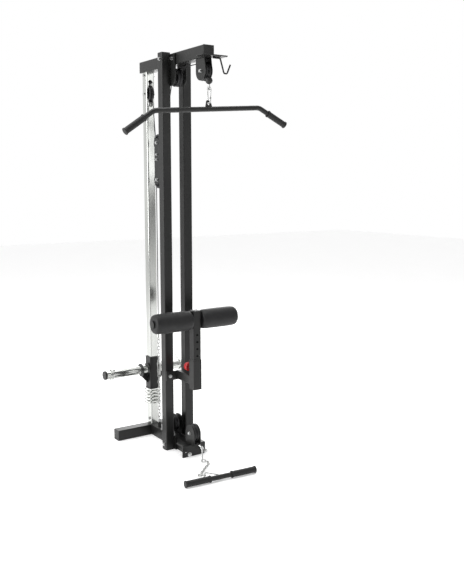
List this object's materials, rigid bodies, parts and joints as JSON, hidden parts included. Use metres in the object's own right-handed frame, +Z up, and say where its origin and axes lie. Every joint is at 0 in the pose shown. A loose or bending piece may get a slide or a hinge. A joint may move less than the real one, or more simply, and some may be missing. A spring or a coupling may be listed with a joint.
{
  "type": "lat pulldown machine",
  "caption": "Plate-loaded lat pulldown and low row that bolts behind a half rack: cable and pulleys, a chromed guide tube with a weight carriage, and knee rollers.",
  "frame": {"origin": "on the floor under the base beam, midway between the uprights, level with their front faces", "axes": "+Z up, +X to the right and -Y towards someone who faces the machine from its front"},
  "size_m": [0.9572, 0.9586, 2.1532],
  "materials": {
    "black_paint": "semi-gloss powder coat",
    "chrome_plate": "bright chrome",
    "zinc_fastener": "bright zinc",
    "galvanised_chain": "galvanised",
    "bearing_steel": "ground steel",
    "pulley_nylon": "satin moulded",
    "coated_cable": "smooth nylon coat",
    "black_plastic": "fine grain",
    "grip_rubber": "ribbed matt",
    "roller_foam": "matt closed foam",
    "red_plastic": "satin"
  },
  "bodies": {
    "frame": {"base_beam": "black_paint", "rear_foot": "black_paint", "low_front_bracket": "black_paint", "low_rear_bracket": "black_paint", "left_upright": "black_paint", "right_upright": "black_paint", "top_beam": "black_paint", "top_rear_bracket": "black_paint", "top_front_bracket": "black_paint", "top_mount_plate": "black_paint", "bar_hook": "black_paint", "pad_bracket": "black_paint", "guide_tube": "chrome_plate", "frame_bolts": "zinc_fastener", "pulley_axles": "zinc_fastener", "anchor_chain": "galvanised_chain", "pulley_bearings": "bearing_steel", "high_cable_fixed": "coated_cable", "low_cable_fixed": "coated_cable", "lat_strand": "coated_cable", "high_strands": "coated_cable", "carriage_strand": "coated_cable", "low_strands": "coated_cable", "row_strand": "coated_cable", "tube_caps": "black_plastic"},
    "block": {"block_plates": "black_paint", "block_bolts": "zinc_fastener", "block_cable_wraps": "coated_cable"},
    "carriage": {"carriage_sleeve": "black_paint", "carriage_liners": "black_plastic", "weight_pegs": "chrome_plate", "peg_stops": "black_paint", "peg_caps": "black_plastic", "bumper_spring": "chrome_plate", "carriage_cable_end": "zinc_fastener"},
    "left_collar": {"left_spring_collar": "chrome_plate"},
    "right_collar": {"right_spring_collar": "chrome_plate"},
    "lat_end": {"lat_ball": "black_plastic", "lat_cable_eye": "zinc_fastener"},
    "lat_hook": {"lat_carabiner": "zinc_fastener"},
    "lat_gate": {"lat_carabiner_gate": "zinc_fastener"},
    "lat_bar": {"lat_bar": "black_paint", "lat_bar_grips": "grip_rubber"},
    "row_end": {"row_carabiners": "zinc_fastener", "row_chain": "galvanised_chain", "row_bar": "black_paint", "row_bar_grips": "grip_rubber"},
    "pad": {"pad_post": "black_paint", "pad_post_cap": "black_plastic"},
    "left_roller": {"left_foam_roller": "roller_foam"},
    "right_roller": {"right_foam_roller": "roller_foam"},
    "pin": {"pop_pin": "zinc_fastener", "pop_pin_knob": "red_plastic"},
    "top_front_pulley": {"top_front_pulley": "pulley_nylon"},
    "top_rear_pulley": {"top_rear_pulley": "pulley_nylon"},
    "guide_pulley": {"guide_pulley": "pulley_nylon"},
    "block_upper_pulley": {"block_upper_pulley": "pulley_nylon"},
    "block_lower_pulley": {"block_lower_pulley": "pulley_nylon"},
    "low_rear_pulley": {"low_rear_pulley": "pulley_nylon"},
    "low_front_pulley": {"low_front_pulley": "pulley_nylon"}
  },
  "joints": [
    {"name": "carriage_slide", "type": "slide", "parent": "frame", "child": "carriage", "axis": [0, 0, 1], "range_m": [0, 1.2], "deforming": ["carriage_strand"]},
    {"name": "lat_pull", "type": "slide", "parent": "frame", "child": "lat_end", "axis": [0, 0, -1], "range_m": [0, 1.2], "deforming": ["lat_strand"]},
    {"name": "row_pull", "type": "slide", "parent": "frame", "child": "row_end", "axis": [0, -1, 0], "range_m": [0, 0.8], "deforming": ["row_strand"]},
    {"name": "block_drop", "type": "slide", "parent": "frame", "child": "block", "axis": [0, 0, -1], "range_m": [0, 0.4], "deforming": ["high_strands", "low_strands"]},
    {"name": "top_front_pulley_spin", "type": "hinge", "parent": "frame", "child": "top_front_pulley", "pos_m": [0, -0.273, 2.028], "axis": [1, 0, 0], "range_deg": [0, 1570]},
    {"name": "top_rear_pulley_spin", "type": "hinge", "parent": "frame", "child": "top_rear_pulley", "pos_m": [0, 0.002, 2.028], "axis": [1, 0, 0], "range_deg": [0, 1570]},
    {"name": "guide_pulley_spin", "type": "hinge", "parent": "frame", "child": "guide_pulley", "pos_m": [0, 0.322, 1.975], "axis": [1, 0, 0], "range_deg": [0, 1570]},
    {"name": "block_upper_pulley_spin", "type": "hinge", "parent": "block", "child": "block_upper_pulley", "pos_m": [0, 0.197, 1.698], "axis": [1, 0, 0], "range_deg": [-1570, 0]},
    {"name": "low_front_pulley_spin", "type": "hinge", "parent": "frame", "child": "low_front_pulley", "pos_m": [0, -0.141, 0.128], "axis": [1, 0, 0], "range_deg": [-1049, 0]},
    {"name": "low_rear_pulley_spin", "type": "hinge", "parent": "frame", "child": "low_rear_pulley", "pos_m": [0, 0.076, 0.128], "axis": [1, 0, 0], "range_deg": [-1049, 0]},
    {"name": "block_lower_pulley_spin", "type": "hinge", "parent": "block", "child": "block_lower_pulley", "pos_m": [0, 0.197, 1.495], "axis": [1, 0, 0], "range_deg": [0, 528]},
    {"name": "lat_hook_swivel", "type": "hinge", "parent": "lat_end", "child": "lat_hook", "pos_m": [0, -0.317, 1.942], "axis": [0, 0, 1], "range_deg": [-30, 30]},
    {"name": "lat_gate", "type": "hinge", "parent": "lat_hook", "child": "lat_gate", "pos_m": [0, -0.32878, 1.89366], "axis": [-1, 0, 0], "range_deg": [0, 25], "stiffness_Nm_per_rad": 0.02, "springref_deg": -17.19},
    {"name": "lat_bar_tilt", "type": "hinge", "parent": "lat_hook", "child": "lat_bar", "pos_m": [0, -0.317, 1.8688], "axis": [0, 1, 0], "range_deg": [-14, 14]},
    {"name": "left_collar_slide", "type": "slide", "parent": "carriage", "child": "left_collar", "axis": [1, 0, 0], "range_m": [0, 0.155]},
    {"name": "right_collar_slide", "type": "slide", "parent": "carriage", "child": "right_collar", "axis": [-1, 0, 0], "range_m": [0, 0.08]},
    {"name": "pad_slide", "type": "slide", "parent": "frame", "child": "pad", "axis": [0, 0, 1], "range_m": [-0.152, 0.076]},
    {"name": "left_roller_spin", "type": "hinge", "parent": "pad", "child": "left_roller", "pos_m": [-0.139, -0.169, 0.757], "axis": [1, 0, 0], "continuous": true},
    {"name": "right_roller_spin", "type": "hinge", "parent": "pad", "child": "right_roller", "pos_m": [0.139, -0.169, 0.757], "axis": [1, 0, 0], "continuous": true},
    {"name": "pin_push", "type": "slide", "parent": "frame", "child": "pin", "axis": [0, -1, 0], "range_m": [0, 0.012]}
  ],
  "couplings": [
    {"joint": "lat_pull", "follows": "carriage_slide", "ratio": 1},
    {"joint": "block_drop", "follows": "row_pull", "ratio": 0.5},
    {"joint": "top_front_pulley_spin", "follows": "carriage_slide", "rad_per_m": 22.727},
    {"joint": "top_rear_pulley_spin", "follows": "carriage_slide", "rad_per_m": 22.727},
    {"joint": "guide_pulley_spin", "follows": "carriage_slide", "rad_per_m": 22.727},
    {"joint": "block_upper_pulley_spin", "follows": "carriage_slide", "rad_per_m": -22.727},
    {"joint": "low_front_pulley_spin", "follows": "row_pull", "rad_per_m": -22.727},
    {"joint": "low_rear_pulley_spin", "follows": "row_pull", "rad_per_m": -22.727},
    {"joint": "block_lower_pulley_spin", "follows": "row_pull", "rad_per_m": 11.364}
  ]
}
